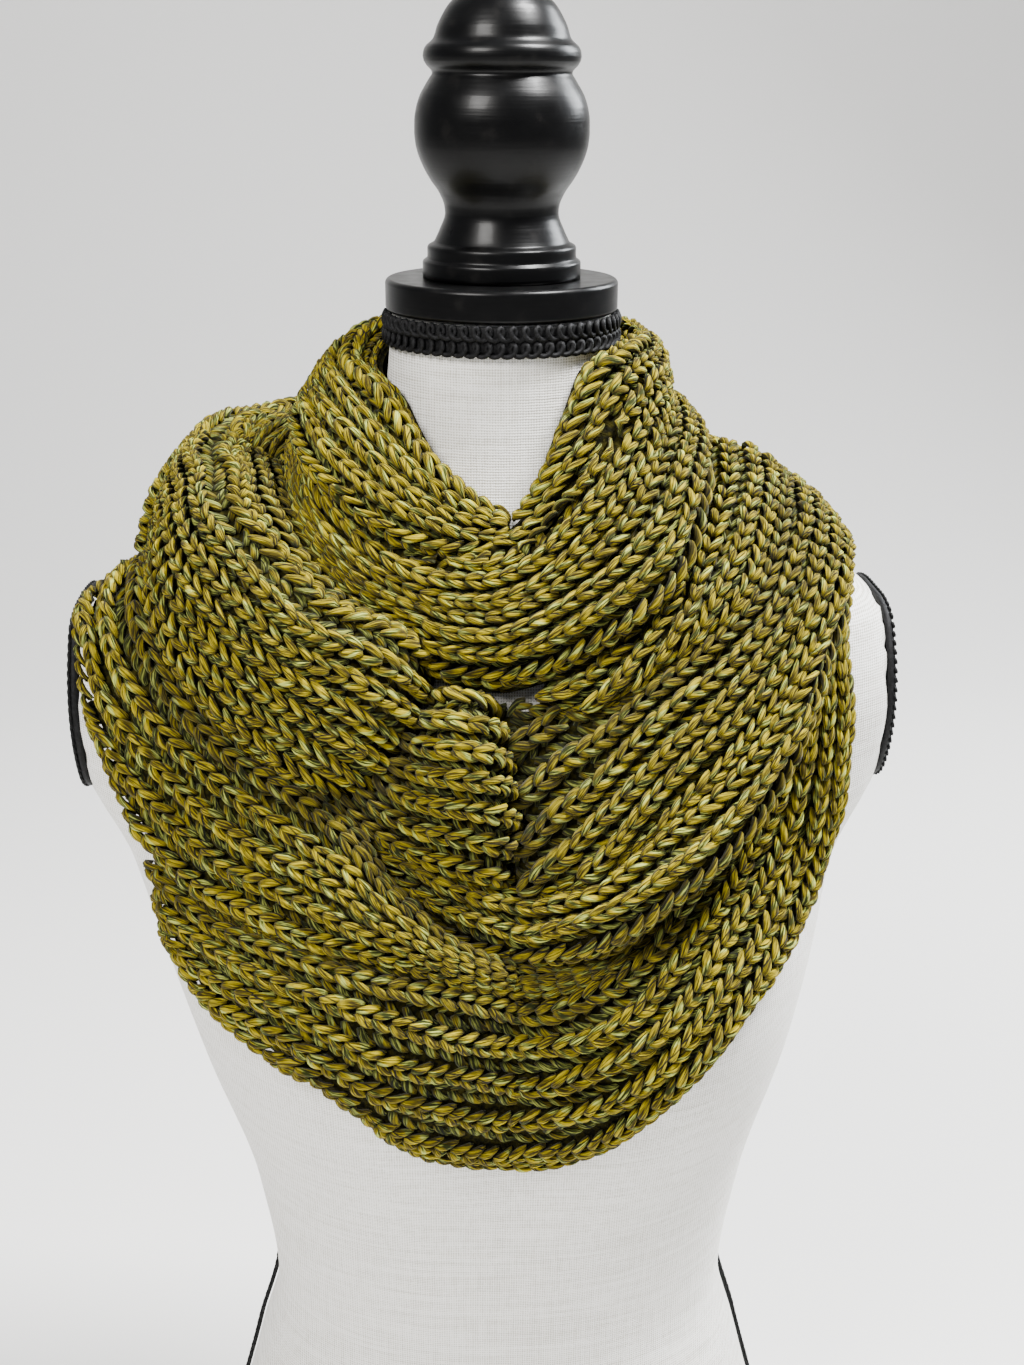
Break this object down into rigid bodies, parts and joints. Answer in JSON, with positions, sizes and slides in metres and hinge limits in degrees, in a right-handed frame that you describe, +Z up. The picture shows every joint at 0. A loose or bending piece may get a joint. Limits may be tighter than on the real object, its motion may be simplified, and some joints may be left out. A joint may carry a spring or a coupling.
{
  "type": "infinity scarf on a dress form",
  "caption": "Chunky ribbed knit infinity scarf wound twice round a limbless tabletop dress form with a turned black knob above its neck.",
  "frame": {"origin": "middle of the dress form's flat bottom, on the table it stands on", "axes": "+Z up through the neck, -Y towards the front of the form, +X towards the right of the picture"},
  "size_m": [0.3726, 0.2617, 0.8692],
  "materials": {
    "linen": "plain woven linen cover, matt",
    "black_braid": "woven gimp braid",
    "black_wood": "satin black paint on turned wood",
    "olive_wool": "chunky ribbed knit of marled mustard and sage wool with a dark thread"
  },
  "bodies": {
    "root": {"torso": "linen", "neck_braid": "black_braid", "arm_braid_left": "black_braid", "arm_braid_right": "black_braid", "side_braid_left": "black_braid", "side_braid_right": "black_braid", "neck_plate": "black_wood", "finial": "black_wood", "collar_left": "olive_wool", "collar_right": "olive_wool", "collar_front": "olive_wool", "left_lap": "olive_wool", "left_sweep": "olive_wool", "lower_swag": "olive_wool", "chest_fold": "olive_wool", "chest_swag": "olive_wool", "chest_ridge": "olive_wool", "upper_curl": "olive_wool", "back_drape": "olive_wool"}
  },
  "joints": []
}
